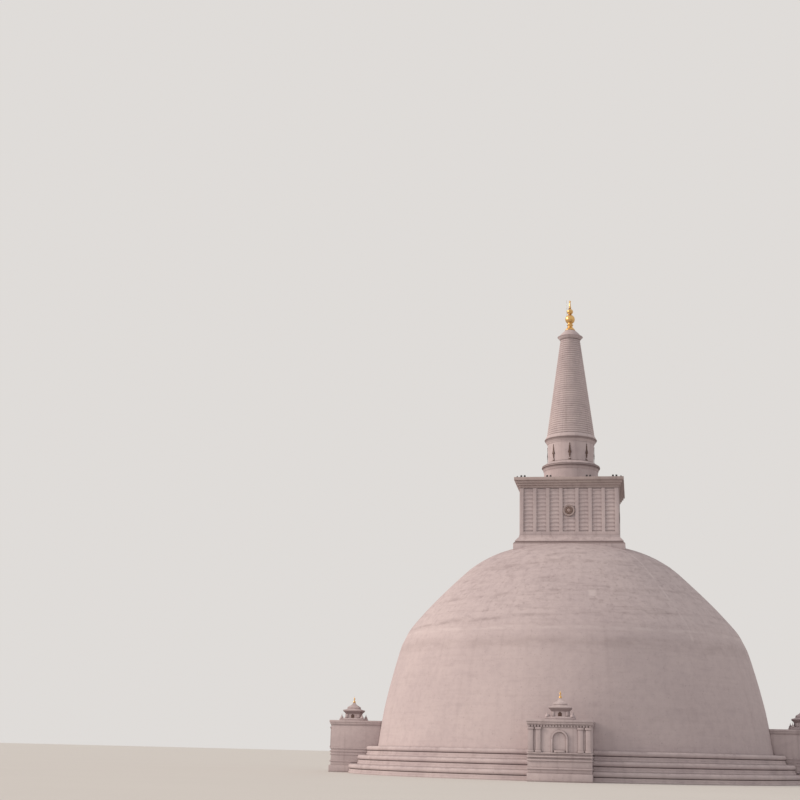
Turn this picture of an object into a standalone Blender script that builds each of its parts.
"""A great whitewashed bubble-dome stupa, as a scale model at 1:10.

Metres, +Z up. The origin is the centre of the lowest ring's underside, the
front face looks along -Y, and the line of lamps on the dome climbs its +X side.
From the ground up: three basal rings, the dome with a frontispiece on each of
its four sides, the square chamber with its railing pattern, the drum with
eight standing figures, the ringed spire and the gilded pinnacle.
"""

import math

import bmesh
import bpy
from mathutils import Matrix, Vector

# Touching pieces keep this gap.
GAP = 0.0003
MERGE_DISTANCE = 0.00001
SQUARE = math.sqrt(2.0)

# Basal rings, from the ground up.
RING_COUNT = 3
RING_HEIGHT = 0.18
LOWEST_RING_RADIUS = 4.615
RING_STEP = 0.18
RING_NOSE = 0.05
RING_NOSE_CHAMFER = 0.3
BASE_SEGMENTS = 56

# Dome.
DOME_FOOT_RADIUS = 4.02
DOME_HEIGHT = 4.232
DOME_OUTLINE = (
    # Share of the foot's radius, share of the dome's height.
    (0.000, 1.000),
    (0.150, 0.994),
    (0.290, 0.9785),
    (0.403, 0.9455),
    (0.496, 0.8985),
    (0.573, 0.8405),
    (0.723, 0.700),
    (0.831, 0.583),
    (0.869, 0.524),
    (0.904, 0.441),
    (0.967, 0.204),
    (1.000, 0.000),
)
DOME_SPAN_STEPS = 2

# Square chamber over the dome: half sizes, measured from the axis.
PLINTH_HALF = 1.148
PLINTH_SINK = 0.25
PLINTH_SHOW = 0.021
PLINTH_SLOPE_HEIGHT = 0.045
MOULDING_INSET = 0.058
MOULDING_HEIGHT = 0.16
MOULDING_FILLET = 0.04
MOULDING_TOP_MARGIN = 0.004
MOULDING_SHOULDER = 0.010
MOULDING_SLOPE_TOP = 0.14
WALL_INSET = 0.123
WALL_HEIGHT = 1.0
SCREEN_THICKNESS = 0.014
RAIL_SLAB_THICKNESS = 0.034
RAIL_COUNT = 11
RAIL_PITCH = 0.084
RAIL_HEIGHT = 0.058
RAIL_RELIEF = 0.010
PANEL_SILL = 0.078
PANEL_LINTEL = 0.012
CENTRE_PANEL_WIDTH = 0.256
SIDE_PANELS = 3
PILASTER_WIDTH = 0.076
CORNER_PILASTER_WIDTH = 0.084
SUN_DISC_RADIUS = 0.122
SUN_DISC_CORE_RADIUS = 0.074
SUN_DISC_PROJECTION = 0.012
SUN_DISC_HEIGHT = 0.52
SUN_DISC_SEGMENTS = 16
CORNICE_REACH = 0.110
CORNICE_FASCIAE = (
    # Share of the reach, height; from the wall up.
    (0.18, 0.044),
    (0.45, 0.046),
    (0.73, 0.050),
    (1.00, 0.070),
)

# Drum.
DRUM_FOOT_RADIUS = 0.580
DRUM_FOOT_HEIGHT = 0.295
DRUM_LEDGE_HEIGHT = 0.485
DRUM_LEDGE_WIDTH = 0.018
DRUM_LOWER_RING_RADIUS = 0.627
DRUM_LOWER_RING_EASE = 0.006
DRUM_LOWER_RING_OUTLINE = (
    # Eases inside the ring's radius, share of the drop from the ledge to the foot.
    (0.8, 0.38),
    (0.0, 0.43),
    (0.5, 0.52),
    (2.5, 0.64),
    (4.6, 0.76),
)
DRUM_BOTTOM_RADIUS = 0.489
DRUM_TOP_RADIUS = 0.502
DRUM_HEIGHT = 0.419
DRUM_UPPER_RING_RADIUS = 0.566
DRUM_UPPER_RING_HEIGHT = 0.19
DRUM_UPPER_RING_EASE = 0.005
DRUM_UPPER_RING_OUTLINE = (
    # Eases inside the ring's radius, share of the ring's height.
    (1.0, 0.57),
    (0.0, 0.53),
    (1.5, 0.46),
)
DRUM_SEGMENTS = 40

# Standing figures round the drum.
FIGURE_COUNT = 8
FIGURE_HEIGHT = 0.385
FIGURE_WIDTH = 0.062
FIGURE_DEPTH = 0.026
FIGURE_SEGMENTS = 8
FIGURE_OUTLINE = (
    # Share of the half width, share of the height.
    (0.16, 1.000),
    (0.34, 0.960),
    (0.46, 0.905),
    (0.38, 0.850),
    (0.30, 0.825),
    (0.80, 0.780),
    (1.00, 0.560),
    (0.84, 0.440),
    (0.70, 0.300),
    (0.74, 0.130),
    (1.00, 0.090),
    (1.00, 0.000),
)

# Ringed spire.
SPIRE_RINGS = 44
SPIRE_HEIGHT = 2.185
SPIRE_BOTTOM_RADIUS = 0.520
SPIRE_TOP_RADIUS = 0.217
SPIRE_RING_RELIEF = 0.011
SPIRE_SEGMENTS = 20
CAP_HEIGHT = 0.225
CAP_FLARE_RADIUS = 0.278
CAP_FLARE_HEIGHT = 0.080
CAP_NECK_RADIUS = 0.212
CAP_TOP_RADIUS = 0.112
CAP_EDGE = 0.012
CAP_UPPER_OUTLINE = (
    # Radius, share of the rise from the flare to the top.
    (0.152, 0.78),
    (0.203, 0.47),
    (0.238, 0.16),
)
CAP_LOWER_OUTLINE = (
    # Radius, share of the drop from the flare to the foot.
    (0.254, 0.35),
    (0.234, 0.68),
)
CAP_SEGMENTS = 28

# Gilded pinnacle.
COLLAR_HEIGHT = 0.175
COLLAR_NECK_RADIUS = 0.050
COLLAR_DISC_RADIUS = 0.071
COLLAR_WAIST_RADIUS = 0.070
COLLAR_SHOULDER_RADIUS = 0.092
GREAT_BALL_RADIUS = 0.107
GREAT_BALL_NECK_RADIUS = 0.030
UPPER_BALL_RADIUS = 0.070
UPPER_BALL_NECK_RADIUS = 0.026
BALL_NECK_HEIGHT = 0.012
SPIKE_HEIGHT = 0.204
SPIKE_BEAD_RADIUS = 0.0296
SPIKE_STEM_RADIUS = 0.0200
SPIKE_CRYSTAL_RADIUS = 0.0240
PINNACLE_SEGMENTS = 20
SPIKE_SEGMENTS = 12

# Frontispieces at the dome's foot, on all four sides.
FRONTISPIECE_WIDTH = 1.10
FRONTISPIECE_FRONT = 4.98
FRONTISPIECE_HEIGHT = 1.05
FRONTISPIECE_BACK = 3.80
FRONTISPIECE_PLINTH_HEIGHT = 0.14
FRONTISPIECE_PLINTH_PROJECTION = 0.035
FRONTISPIECE_CORNICE_HEIGHT = 0.08
FRONTISPIECE_CORNICE_PROJECTION = 0.045
CROWN_TIER_HALF = 0.260
CROWN_TIER_HEIGHT = 0.050
CROWN_BODY_HALF = 0.149
CROWN_BODY_HEIGHT = 0.090
CROWN_CORNICE_HALF = 0.198
CROWN_CORNICE_HEIGHT = 0.073
CROWN_CORNICE_EDGE = 0.020
CROWN_SPIRELET_HALF = 0.114
CROWN_SPIRELET_FOOT = 0.078
CROWN_SPIRELET_HEIGHT = 0.155
CROWN_FINIAL_HALF = 0.020
CROWN_FINIAL_HEIGHT = 0.140
CROWN_SETBACK = 0.36

# Lamps on the dome's +X side and round the chamber's roof.
LAMP_COUNT = 12
LAMP_SPACING = 0.349
LAMP_FIRST = 0.622
LAMP_RAIL_START = 1.25
LAMP_RAIL_CLEARANCE = 0.03
LAMP_RAIL_THICKNESS = 0.008
LAMP_RAIL_WIDTH = 0.022
LAMP_NECK_WIDTH = 0.010
LAMP_NECK_HEIGHT = 0.026
LAMP_HEAD_WIDTH = 0.026
LAMP_HEAD_HEIGHT = 0.022
ROOF_RAIL_INSET = 0.050
ROOF_RAIL_WIDTH = 0.012
ROOF_RAIL_HEIGHT = 0.010
ROOF_LAMP_SIZE = 0.040
ROOF_LAMP_HEIGHT = 0.046
ROOF_LAMP_TWIN_SPACING = 0.070
ROOF_LAMP_END_INSET = 0.125
ROOF_LAMP_PAIR_SPACING = 0.54

# Sizes and heights worked out from the ones above.
WALL_HALF = PLINTH_HALF - WALL_INSET
MOULDING_HALF = PLINTH_HALF - MOULDING_INSET
SIDE_PANEL_PITCH = (WALL_HALF - CORNER_PILASTER_WIDTH - CENTRE_PANEL_WIDTH / 2) / SIDE_PANELS
SIDE_PANEL_WIDTH = SIDE_PANEL_PITCH - PILASTER_WIDTH
ROOF_RAIL_HALF = WALL_HALF + CORNICE_REACH - ROOF_RAIL_INSET
OUTER_ROOF_LAMP = ROOF_RAIL_HALF - ROOF_LAMP_END_INSET
INNER_ROOF_LAMP = OUTER_ROOF_LAMP - ROOF_LAMP_PAIR_SPACING
DRUM_REACH = max(DRUM_BOTTOM_RADIUS, DRUM_TOP_RADIUS)
DRUM_LEDGE_RADIUS = DRUM_REACH + DRUM_LEDGE_WIDTH
DOME_FOOT_Z = RING_COUNT * (RING_HEIGHT + GAP)


def smooth_outline(points, steps):
    """Points on a smooth curve through the given ones, with this many steps a span."""
    smooth = []
    last = len(points) - 1
    for i in range(last):
        before, start = Vector(points[max(i - 1, 0)]), Vector(points[i])
        end, after = Vector(points[i + 1]), Vector(points[min(i + 2, last)])
        for k in range(steps):
            t = k / steps
            leave, arrive = (end - before) / 2, (after - start) / 2
            smooth.append(
                (2 * t**3 - 3 * t**2 + 1) * start
                + (t**3 - 2 * t**2 + t) * leave
                + (3 * t**2 - 2 * t**3) * end
                + (t**3 - t**2) * arrive
            )
    smooth.append(Vector(points[last]))
    return [(point.x, point.y) for point in smooth]


def dome_outline(growth=0.0):
    """The dome's outline from its crown down to its foot, moved outwards by growth."""
    shares = smooth_outline(DOME_OUTLINE, DOME_SPAN_STEPS)
    return [
        (r * DOME_FOOT_RADIUS + (growth if r else 0.0), DOME_FOOT_Z + z * DOME_HEIGHT + growth)
        for r, z in shares
    ]


def dome_height_at(radius):
    """Height of the dome's surface at this distance from the axis."""
    outline = dome_outline()
    for (r_in, z_in), (r_out, z_out) in zip(outline, outline[1:]):
        if r_in <= radius <= r_out:
            return z_in + (z_out - z_in) * (radius - r_in) / (r_out - r_in)
    return DOME_FOOT_Z


MOULDING_Z = dome_height_at(PLINTH_HALF) + PLINTH_SHOW + 2 * GAP
WALL_Z = MOULDING_Z + MOULDING_HEIGHT + GAP
CORNICE_Z = WALL_Z + WALL_HEIGHT + GAP
ROOF_Z = CORNICE_Z + sum(height for _, height in CORNICE_FASCIAE)
DRUM_BASE_Z = ROOF_Z + GAP
DRUM_Z = DRUM_BASE_Z + DRUM_LEDGE_HEIGHT + GAP
DRUM_RING_Z = DRUM_Z + DRUM_HEIGHT + GAP
SPIRE_Z = DRUM_RING_Z + DRUM_UPPER_RING_HEIGHT + GAP
CAP_Z = SPIRE_Z + SPIRE_HEIGHT + GAP
COLLAR_Z = CAP_Z + CAP_HEIGHT + GAP
GREAT_BALL_Z = COLLAR_Z + COLLAR_HEIGHT + GAP
RAIL_FRONT = WALL_HALF - SCREEN_THICKNESS - GAP
CORE_HALF = RAIL_FRONT - RAIL_SLAB_THICKNESS - GAP


def clear_scene():
    for obj in list(bpy.data.objects):
        bpy.data.objects.remove(obj, do_unlink=True)


def new_collection(name):
    collection = bpy.data.collections.new(name)
    bpy.context.scene.collection.children.link(collection)
    return collection


def make_material(name, colour, roughness, metallic=0.0):
    material = bpy.data.materials.new(name)
    material.use_nodes = True
    shader = material.node_tree.nodes["Principled BSDF"]
    shader.inputs["Base Color"].default_value = (*colour, 1.0)
    shader.inputs["Roughness"].default_value = roughness
    shader.inputs["Metallic"].default_value = metallic
    return material


def add_object(name, data, collection, material=None):
    obj = bpy.data.objects.new(name, data)
    collection.objects.link(obj)
    if material:
        data.materials.append(material)
    return obj


def line_mesh(name, points):
    """A mesh of the points, given as (x, z), joined in a line in the XZ plane."""
    mesh = bpy.data.meshes.new(name)
    edges = [(i, i + 1) for i in range(len(points) - 1)]
    mesh.from_pydata([(x, 0.0, z) for x, z in points], edges, [])
    return mesh


def turned(name, outline, segments, collection, material=None, square=False):
    """A solid turned about Z. The outline runs down its outer side, from top to bottom.

    A square one is turned in four steps, so its outline gives half widths.
    """
    stretch = SQUARE if square else 1.0
    closed = [(r * stretch, z) for r, z in outline]
    if closed[0][0] > 0:
        closed.insert(0, (0.0, closed[0][1]))
    if closed[-1][0] > 0:
        closed.append((0.0, closed[-1][1]))
    obj = add_object(name, line_mesh(name, closed), collection, material)
    screw = obj.modifiers.new("Turn", "SCREW")
    screw.axis = "Z"
    screw.steps = screw.render_steps = 4 if square else segments
    screw.use_merge_vertices = True
    screw.merge_threshold = MERGE_DISTANCE
    screw.use_smooth_shade = not square
    if square:
        obj.rotation_euler.z = math.radians(45)
    return obj


def flat_outline(name, rings, thickness, collection, material=None):
    """A flat plate from closed outlines in its own XY plane: the first is its edge, the rest are holes."""
    curve = bpy.data.curves.new(name, "CURVE")
    curve.dimensions = "2D"
    curve.fill_mode = "BOTH"
    curve.extrude = thickness / 2
    for ring in rings:
        spline = curve.splines.new("POLY")
        spline.points.add(len(ring) - 1)
        for point, (x, y) in zip(spline.points, ring):
            point.co = (x, y, 0.0, 1.0)
        spline.use_cyclic_u = True
    return add_object(name, curve, collection, material)


def as_mesh(obj, collection):
    """The curve object made a closed mesh object of the same name and place."""
    name, matrix = obj.name, obj.matrix_basis.copy()
    material = obj.data.materials[0] if obj.data.materials else None
    bpy.context.view_layer.update()
    evaluated = obj.evaluated_get(bpy.context.evaluated_depsgraph_get())
    mesh = bpy.data.meshes.new_from_object(evaluated)
    shape = bmesh.new()
    shape.from_mesh(mesh)
    bmesh.ops.remove_doubles(shape, verts=shape.verts, dist=MERGE_DISTANCE)
    shape.to_mesh(mesh)
    shape.free()
    bpy.data.objects.remove(obj, do_unlink=True)
    mesh.materials.clear()
    made = add_object(name, mesh, collection, material)
    made.matrix_basis = matrix
    return made


def box_mesh(name, boxes):
    """A mesh of boxes, each given by two of its corners."""
    mesh = bpy.data.meshes.new(name)
    shape = bmesh.new()
    for low, high in boxes:
        low, high = Vector(low), Vector(high)
        place = Matrix.Translation((low + high) / 2) @ Matrix.Diagonal((*(high - low), 1.0))
        bmesh.ops.create_cube(shape, size=1.0, matrix=place)
    shape.to_mesh(mesh)
    shape.free()
    return mesh


def add_cutter(name, mesh, collection):
    cutter = add_object(name, mesh, collection)
    cutter.hide_render = True
    cutter.display_type = "WIRE"
    return cutter


def boolean(obj, other, operation="DIFFERENCE"):
    modifier = obj.modifiers.new(other.name, "BOOLEAN")
    modifier.operation = operation
    modifier.solver = "EXACT"
    modifier.object = other


def rectangle(left, right, bottom, top):
    return [(left, bottom), (right, bottom), (right, top), (left, top)]


def face_turn(side):
    """Turn about Z that takes a piece made for the front face to side 0 to 3."""
    return math.radians(90 * side)


SIDES = ("front", "right", "back", "left")


def ring_outline(radius, bottom, top):
    """A basal ring: a plain riser under a rounded nose."""
    middle = top - RING_NOSE
    chamfer = RING_NOSE_CHAMFER * RING_NOSE
    return [
        (radius - RING_NOSE, top),
        (radius - chamfer, top - chamfer),
        (radius, middle),
        (radius, bottom),
    ]


def add_basal_rings(collection, material):
    names = ("basal_ring_lowest", "basal_ring_middle", "basal_ring_top")
    for i, name in enumerate(names):
        bottom = i * (RING_HEIGHT + GAP)
        radius = LOWEST_RING_RADIUS - i * RING_STEP
        outline = ring_outline(radius, bottom, bottom + RING_HEIGHT)
        turned(name, outline, BASE_SEGMENTS, collection, material)


def add_dome(collection, cutters, material):
    outline = dome_outline()
    outline[-1] = (DOME_FOOT_RADIUS, DOME_FOOT_Z)
    dome = turned("dome", outline, BASE_SEGMENTS, collection, material)
    half = PLINTH_HALF + GAP
    seat = MOULDING_Z - PLINTH_SINK - 2 * GAP
    above = DOME_FOOT_Z + DOME_HEIGHT + PLINTH_SINK
    mesh = box_mesh("plinth_pocket", [((-half, -half, seat), (half, half, above))])
    boolean(dome, add_cutter("plinth_pocket", mesh, cutters))


def add_chamber_base(collection, material):
    top = MOULDING_Z - GAP
    turned(
        "chamber_plinth",
        [
            (MOULDING_HALF, top),
            (PLINTH_HALF, top - PLINTH_SLOPE_HEIGHT),
            (PLINTH_HALF, top - PLINTH_SINK),
        ],
        4,
        collection,
        material,
        square=True,
    )
    top = MOULDING_Z + MOULDING_HEIGHT
    fillet = MOULDING_Z + MOULDING_FILLET
    turned(
        "chamber_base_moulding",
        [
            (WALL_HALF + MOULDING_TOP_MARGIN, top),
            (WALL_HALF + MOULDING_SHOULDER, top - MOULDING_SLOPE_TOP * MOULDING_HEIGHT),
            (MOULDING_HALF, fillet),
            (MOULDING_HALF, MOULDING_Z),
        ],
        4,
        collection,
        material,
        square=True,
    )


def panel_edges():
    """Left and right edges of the seven panels of a face, from its middle line."""
    edges = [(-CENTRE_PANEL_WIDTH / 2, CENTRE_PANEL_WIDTH / 2)]
    for i in range(SIDE_PANELS):
        near = CENTRE_PANEL_WIDTH / 2 + PILASTER_WIDTH + i * SIDE_PANEL_PITCH
        edges.append((near, near + SIDE_PANEL_WIDTH))
        edges.append((-near - SIDE_PANEL_WIDTH, -near))
    return edges


def rail_slab_outline():
    """Section through a slab of level rails: outwards from its back, and up from the wall's foot."""
    outline = [(0.0, 0.0), (RAIL_SLAB_THICKNESS - RAIL_RELIEF, 0.0)]
    for i in range(RAIL_COUNT):
        bottom = PANEL_SILL + i * RAIL_PITCH + (RAIL_PITCH - RAIL_HEIGHT) / 2
        outline.append((RAIL_SLAB_THICKNESS - RAIL_RELIEF, bottom))
        outline.append((RAIL_SLAB_THICKNESS, bottom))
        outline.append((RAIL_SLAB_THICKNESS, bottom + RAIL_HEIGHT))
        outline.append((RAIL_SLAB_THICKNESS - RAIL_RELIEF, bottom + RAIL_HEIGHT))
    outline.append((RAIL_SLAB_THICKNESS - RAIL_RELIEF, WALL_HEIGHT))
    outline.append((0.0, WALL_HEIGHT))
    return outline


def add_chamber_walls(collection, material):
    top = WALL_Z + WALL_HEIGHT
    outline = [(CORE_HALF, top), (CORE_HALF, WALL_Z)]
    turned("chamber_core", outline, 4, collection, material, square=True)
    for side, word in enumerate(SIDES):
        # Front and back run to the corners, and the two sides fit between them.
        fitted = side % 2
        turn = Matrix.Rotation(face_turn(side), 4, "Z")
        stand = turn @ Matrix.Rotation(math.radians(90), 4, "X")

        half = CORE_HALF if fitted else RAIL_FRONT
        slab = flat_outline(f"chamber_rails_{word}", [rail_slab_outline()], 2 * half, collection, material)
        place = Matrix.Translation((0.0, -CORE_HALF - GAP, WALL_Z))
        slab.matrix_basis = turn @ place @ Matrix.Rotation(math.radians(-90), 4, "Z") @ Matrix.Rotation(
            math.radians(90), 4, "X"
        )

        half = RAIL_FRONT if fitted else WALL_HALF
        openings = [
            rectangle(left, right, PANEL_SILL, WALL_HEIGHT - PANEL_LINTEL) for left, right in panel_edges()
        ]
        edge = rectangle(-half, half, 0.0, WALL_HEIGHT)
        screen = flat_outline(
            f"chamber_pilasters_{word}", [edge, *openings], SCREEN_THICKNESS, collection, material
        )
        out = RAIL_FRONT + GAP + SCREEN_THICKNESS / 2
        screen.matrix_basis = turn @ Matrix.Translation((0.0, -out, WALL_Z)) @ (turn.inverted() @ stand)


def add_sun_discs(collection, material):
    depth = SCREEN_THICKNESS + SUN_DISC_PROJECTION
    outline = [
        (SUN_DISC_CORE_RADIUS * 0.6, depth),
        (SUN_DISC_CORE_RADIUS, depth * 0.75),
        (SUN_DISC_CORE_RADIUS * 1.12, depth * 0.45),
        (SUN_DISC_RADIUS * 0.86, depth * 0.8),
        (SUN_DISC_RADIUS, depth * 0.6),
        (SUN_DISC_RADIUS, 0.0),
    ]
    for side, word in enumerate(SIDES):
        disc = turned(f"sun_disc_{word}", outline, SUN_DISC_SEGMENTS, collection, material)
        turn = Matrix.Rotation(face_turn(side), 4, "Z")
        place = Matrix.Translation((0.0, -RAIL_FRONT - GAP, WALL_Z + SUN_DISC_HEIGHT))
        disc.matrix_basis = turn @ place @ Matrix.Rotation(math.radians(90), 4, "X")


def add_cornice(collection, material):
    outline = []
    top = ROOF_Z
    for share, height in reversed(CORNICE_FASCIAE):
        half = WALL_HALF + share * CORNICE_REACH
        outline.append((half, top))
        top -= height
        outline.append((half, top))
    turned("chamber_cornice", outline, 4, collection, material, square=True)


def add_drum(collection, material):
    ledge = DRUM_BASE_Z + DRUM_LEDGE_HEIGHT
    foot = DRUM_BASE_Z + DRUM_FOOT_HEIGHT
    ring = ledge - foot
    reach, ease = DRUM_LOWER_RING_RADIUS, DRUM_LOWER_RING_EASE
    turned(
        "drum_base",
        [
            (DRUM_LEDGE_RADIUS, ledge),
            *[(reach - eases * ease, ledge - share * ring) for eases, share in DRUM_LOWER_RING_OUTLINE],
            (DRUM_FOOT_RADIUS + ease, foot + ease),
            (DRUM_FOOT_RADIUS, foot),
            (DRUM_FOOT_RADIUS, DRUM_BASE_Z),
        ],
        DRUM_SEGMENTS,
        collection,
        material,
    )
    turned(
        "drum",
        [(DRUM_TOP_RADIUS, DRUM_Z + DRUM_HEIGHT), (DRUM_BOTTOM_RADIUS, DRUM_Z)],
        DRUM_SEGMENTS,
        collection,
        material,
    )
    reach, ease = DRUM_UPPER_RING_RADIUS, DRUM_UPPER_RING_EASE
    bottom, height = DRUM_RING_Z, DRUM_UPPER_RING_HEIGHT
    turned(
        "drum_upper_ring",
        [
            (SPIRE_BOTTOM_RADIUS, bottom + height),
            *[(reach - eases * ease, bottom + share * height) for eases, share in DRUM_UPPER_RING_OUTLINE],
            (DRUM_TOP_RADIUS + ease, bottom + 2 * ease),
            (DRUM_TOP_RADIUS, bottom),
        ],
        DRUM_SEGMENTS,
        collection,
        material,
    )


def add_figures(collection, material):
    """Eight robed figures stand on the ledge, each with its back to the drum."""
    half_width, half_depth = FIGURE_WIDTH / 2, FIGURE_DEPTH / 2
    distance = DRUM_REACH + half_depth + GAP
    outline = [(r * half_width, z * FIGURE_HEIGHT) for r, z in FIGURE_OUTLINE]
    for i in range(FIGURE_COUNT):
        angle = 2 * math.pi * i / FIGURE_COUNT
        figure = turned(f"drum_figure_{i + 1}", outline, FIGURE_SEGMENTS, collection, material)
        figure.location = (distance * math.sin(angle), -distance * math.cos(angle), DRUM_Z)
        figure.rotation_euler.z = angle
        figure.scale.y = half_depth / half_width


def spire_radius(share):
    """Radius of the spire's rings at this share of its height."""
    return SPIRE_BOTTOM_RADIUS + (SPIRE_TOP_RADIUS - SPIRE_BOTTOM_RADIUS) * share


def add_spire(collection, material):
    outline = []
    for i in reversed(range(SPIRE_RINGS)):
        crest, groove = (i + 0.5) / SPIRE_RINGS, i / SPIRE_RINGS
        outline.append((spire_radius(crest), SPIRE_Z + crest * SPIRE_HEIGHT))
        outline.append((spire_radius(groove) - SPIRE_RING_RELIEF, SPIRE_Z + groove * SPIRE_HEIGHT))
    outline.insert(0, (SPIRE_TOP_RADIUS - SPIRE_RING_RELIEF, SPIRE_Z + SPIRE_HEIGHT))
    turned("spire", outline, SPIRE_SEGMENTS, collection, material)

    flare, top = CAP_Z + CAP_FLARE_HEIGHT, CAP_Z + CAP_HEIGHT
    turned(
        "spire_cap",
        [
            (CAP_TOP_RADIUS, top),
            *[(radius, flare + share * (top - flare)) for radius, share in CAP_UPPER_OUTLINE],
            (CAP_FLARE_RADIUS, flare + CAP_EDGE / 2),
            (CAP_FLARE_RADIUS, flare - CAP_EDGE / 2),
            *[(radius, flare - share * CAP_FLARE_HEIGHT) for radius, share in CAP_LOWER_OUTLINE],
            (CAP_NECK_RADIUS, CAP_Z),
        ],
        CAP_SEGMENTS,
        collection,
        material,
    )


def ball_outline(bottom, radius, bottom_neck, top_neck, steps):
    """A ball cut level at a neck below and above. Returns the outline and its top."""
    start = math.asin(top_neck / radius)
    end = math.pi - math.asin(bottom_neck / radius)
    centre = bottom - radius * math.cos(end)
    angles = [start + (end - start) * i / steps for i in range(steps + 1)]
    outline = [(radius * math.sin(a), centre + radius * math.cos(a)) for a in angles]
    return outline, centre + radius * math.cos(start)


def add_pinnacle(collection, material):
    top = COLLAR_Z + COLLAR_HEIGHT
    neck, disc = COLLAR_NECK_RADIUS, COLLAR_DISC_RADIUS
    turned(
        "gilded_collar",
        [
            (neck, top),
            (neck, top - 0.11 * COLLAR_HEIGHT),
            (disc, top - 0.17 * COLLAR_HEIGHT),
            (disc, top - 0.31 * COLLAR_HEIGHT),
            (neck, top - 0.42 * COLLAR_HEIGHT),
            (COLLAR_WAIST_RADIUS, COLLAR_Z + 0.42 * COLLAR_HEIGHT),
            (COLLAR_SHOULDER_RADIUS, COLLAR_Z + 0.27 * COLLAR_HEIGHT),
            (CAP_TOP_RADIUS, COLLAR_Z),
        ],
        PINNACLE_SEGMENTS,
        collection,
        material,
    )
    outline, top = ball_outline(
        GREAT_BALL_Z, GREAT_BALL_RADIUS, COLLAR_NECK_RADIUS, GREAT_BALL_NECK_RADIUS, 8
    )
    outline.insert(0, (GREAT_BALL_NECK_RADIUS, top + BALL_NECK_HEIGHT))
    turned("great_ball", outline, PINNACLE_SEGMENTS, collection, material)

    bottom = top + BALL_NECK_HEIGHT + GAP
    outline, top = ball_outline(
        bottom, UPPER_BALL_RADIUS, GREAT_BALL_NECK_RADIUS, UPPER_BALL_NECK_RADIUS, 7
    )
    turned("upper_ball", outline, PINNACLE_SEGMENTS, collection, material)

    bottom = top + GAP
    turned(
        "spike",
        [
            (0.0, bottom + SPIKE_HEIGHT),
            (0.55 * SPIKE_CRYSTAL_RADIUS, bottom + 0.94 * SPIKE_HEIGHT),
            (SPIKE_CRYSTAL_RADIUS, bottom + 0.84 * SPIKE_HEIGHT),
            (SPIKE_STEM_RADIUS, bottom + 0.70 * SPIKE_HEIGHT),
            (SPIKE_STEM_RADIUS * 1.15, bottom + 0.24 * SPIKE_HEIGHT),
            (SPIKE_BEAD_RADIUS, bottom + 0.14 * SPIKE_HEIGHT),
            (UPPER_BALL_NECK_RADIUS, bottom),
        ],
        SPIKE_SEGMENTS,
        collection,
        material,
    )


def add_frontispieces(collection, cutters, material):
    """A block with a plinth course and a cornice against the rings and the dome, and a crown on it."""
    outline = dome_outline(GAP)
    for i in reversed(range(RING_COUNT)):
        radius = LOWEST_RING_RADIUS - i * RING_STEP + GAP
        bottom = i * (RING_HEIGHT + GAP)
        ring = ring_outline(radius, bottom, bottom + RING_HEIGHT + GAP)
        outline.extend(ring if i else [*ring[:-1], (radius, bottom - RING_HEIGHT)])
    masonry = turned("masonry_clearance", outline, BASE_SEGMENTS, cutters)
    masonry.hide_render = True
    masonry.display_type = "WIRE"

    plinth = FRONTISPIECE_FRONT + FRONTISPIECE_PLINTH_PROJECTION
    cornice = FRONTISPIECE_FRONT + FRONTISPIECE_CORNICE_PROJECTION
    shoulder = FRONTISPIECE_HEIGHT - FRONTISPIECE_CORNICE_HEIGHT
    section = [
        (FRONTISPIECE_BACK, 0.0),
        (plinth, 0.0),
        (plinth, FRONTISPIECE_PLINTH_HEIGHT),
        (FRONTISPIECE_FRONT, FRONTISPIECE_PLINTH_HEIGHT),
        (FRONTISPIECE_FRONT, shoulder),
        (cornice, shoulder + 0.5 * FRONTISPIECE_CORNICE_HEIGHT),
        (cornice, FRONTISPIECE_HEIGHT),
        (FRONTISPIECE_BACK, FRONTISPIECE_HEIGHT),
    ]
    base = FRONTISPIECE_HEIGHT + GAP
    tier = base + CROWN_TIER_HEIGHT
    body = tier + CROWN_BODY_HEIGHT
    eaves = body + CROWN_CORNICE_HEIGHT
    foot = eaves + CROWN_SPIRELET_FOOT
    tip = eaves + CROWN_SPIRELET_HEIGHT
    crown_outline = [
        (0.0, tip + CROWN_FINIAL_HEIGHT),
        (CROWN_FINIAL_HALF, tip + 0.1 * CROWN_FINIAL_HEIGHT),
        (CROWN_FINIAL_HALF, tip),
        (CROWN_SPIRELET_HALF * 0.55, foot + 0.35 * (tip - foot)),
        (CROWN_SPIRELET_HALF, foot),
        (CROWN_SPIRELET_HALF, eaves + CROWN_CORNICE_EDGE),
        (CROWN_CORNICE_HALF, eaves),
        (CROWN_CORNICE_HALF, eaves - CROWN_CORNICE_EDGE),
        (CROWN_BODY_HALF, body),
        (CROWN_BODY_HALF, tier),
        (CROWN_TIER_HALF, tier),
        (CROWN_TIER_HALF, base),
    ]
    for side, word in enumerate(SIDES):
        turn = Matrix.Rotation(face_turn(side), 4, "Z")
        block = flat_outline(
            f"frontispiece_{word}_body", [section], FRONTISPIECE_WIDTH, collection, material
        )
        block.matrix_basis = (
            turn @ Matrix.Rotation(math.radians(-90), 4, "Z") @ Matrix.Rotation(math.radians(90), 4, "X")
        )
        boolean(as_mesh(block, collection), masonry)
        crown = turned(
            f"frontispiece_{word}_crown", crown_outline, 4, collection, material, square=True
        )
        out = FRONTISPIECE_FRONT - CROWN_SETBACK
        crown.matrix_basis = (
            turn @ Matrix.Translation((0.0, -out, 0.0)) @ Matrix.Rotation(math.radians(45), 4, "Z")
        )


def offset_line(line, distance):
    """The open line moved this far to its outer side, with mitred corners."""
    directions = [(b - a).normalized() for a, b in zip(line, line[1:])]
    moved = []
    for i, point in enumerate(line):
        before = directions[max(i - 1, 0)]
        after = directions[min(i, len(directions) - 1)]
        normal = Vector((-before.y - after.y, before.x + after.x)).normalized()
        mitre = normal.dot(Vector((-after.y, after.x)))
        moved.append(point + normal * distance / mitre)
    return moved


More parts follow.
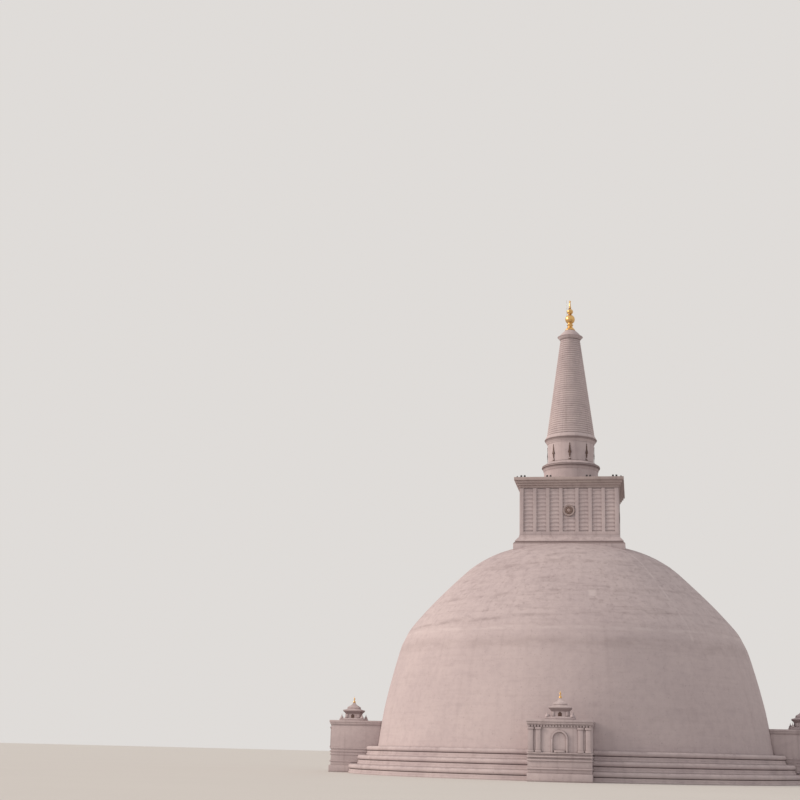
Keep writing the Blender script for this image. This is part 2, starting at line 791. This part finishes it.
def lamp_line_outline():
    """The rail that follows the dome down its side, with a lamp on a neck at equal steps."""
    lowest = FRONTISPIECE_HEIGHT + LAMP_RAIL_CLEARANCE
    surface = [Vector(point) for point in dome_outline(GAP)]
    line = [point for point in surface if point.x > LAMP_RAIL_START and point.y > lowest]
    line.insert(0, Vector((LAMP_RAIL_START, dome_height_at(LAMP_RAIL_START) + GAP)))
    # The rail's far side runs from the top down, and its near side comes back up.
    line.reverse()
    outer = offset_line(line, -LAMP_RAIL_THICKNESS)
    line.reverse()
    outer.reverse()
    neck, head = LAMP_NECK_WIDTH / 2, LAMP_HEAD_WIDTH / 2
    high = LAMP_NECK_HEIGHT + LAMP_HEAD_HEIGHT
    bump = [
        (-neck, 0.0),
        (-neck, LAMP_NECK_HEIGHT),
        (-head, LAMP_NECK_HEIGHT),
        (-head, high),
        (head, high),
        (head, LAMP_NECK_HEIGHT),
        (neck, LAMP_NECK_HEIGHT),
        (neck, 0.0),
    ]
    outline = []
    travelled = 0.0
    lamps = [LAMP_FIRST + i * LAMP_SPACING for i in range(LAMP_COUNT)]
    for start, end in zip(outer, outer[1:]):
        length = (end - start).length
        along = (end - start) / length
        out = Vector((-along.y, along.x))
        outline.append(start)
        for lamp in lamps:
            # A lamp near a corner of the rail shifts on to its straight stretch.
            if travelled <= lamp < travelled + length:
                place = min(max(lamp - travelled, head), length - head)
                outline.extend(start + along * (place + x) + out * y for x, y in bump)
        travelled += length
    outline.append(outer[-1])
    return [(p.x, p.y) for p in outline] + [(p.x, p.y) for p in reversed(line)]


def add_lamp_line(collection, material):
    line = flat_outline("dome_lamp_line", [lamp_line_outline()], LAMP_RAIL_WIDTH, collection, material)
    line.rotation_euler.x = math.radians(90)


def add_roof_lamps(collection, cutters, material):
    """A straight rail along each edge of the chamber's roof carries the floodlights."""
    low = ROOF_Z + GAP
    outer, inner = ROOF_RAIL_HALF, ROOF_RAIL_HALF - ROOF_RAIL_WIDTH
    middle, half_lamp, twin = (outer + inner) / 2, ROOF_LAMP_SIZE / 2, ROOF_LAMP_TWIN_SPACING / 2
    pairs = (-OUTER_ROOF_LAMP, -INNER_ROOF_LAMP, INNER_ROOF_LAMP, OUTER_ROOF_LAMP)
    places = [pair + shift for pair in pairs for shift in (-twin, twin)]
    for side, word in enumerate(SIDES):
        # Front and back run to the corners, and the two sides fit between them.
        half = inner - GAP if side % 2 else outer
        name = f"roof_lamps_{word}"
        bar = ((-half, -outer, low), (half, -inner, low + ROOF_RAIL_HEIGHT))
        rail = add_object(name, box_mesh(name, [bar]), collection, material)
        lamps = [
            (
                (place - half_lamp, -middle - half_lamp, low),
                (place + half_lamp, -middle + half_lamp, low + ROOF_LAMP_HEIGHT),
            )
            for place in places
        ]
        heads = add_cutter(f"roof_lamp_heads_{word}", box_mesh(f"roof_lamp_heads_{word}", lamps), cutters)
        boolean(rail, heads, "UNION")
        rail.matrix_basis = heads.matrix_basis = Matrix.Rotation(face_turn(side), 4, "Z")


def main():
    clear_scene()
    stupa = new_collection("stupa")
    cutters = new_collection("cutters")
    limewash = make_material("aged_limewash", (0.72, 0.67, 0.63), 0.85)
    gilding = make_material("weathered_gilding", (0.72, 0.47, 0.18), 0.35, metallic=1.0)
    bronze = make_material("dark_bronze_paint", (0.13, 0.07, 0.05), 0.55)
    lamp_paint = make_material("dark_lamp_paint", (0.05, 0.05, 0.05), 0.5)
    add_basal_rings(stupa, limewash)
    add_dome(stupa, cutters, limewash)
    add_frontispieces(stupa, cutters, limewash)
    add_chamber_base(stupa, limewash)
    add_chamber_walls(stupa, limewash)
    add_sun_discs(stupa, bronze)
    add_cornice(stupa, limewash)
    add_drum(stupa, limewash)
    add_figures(stupa, bronze)
    add_spire(stupa, limewash)
    add_pinnacle(stupa, gilding)
    add_lamp_line(stupa, lamp_paint)
    add_roof_lamps(stupa, cutters, lamp_paint)


if __name__ == "__main__":
    main()
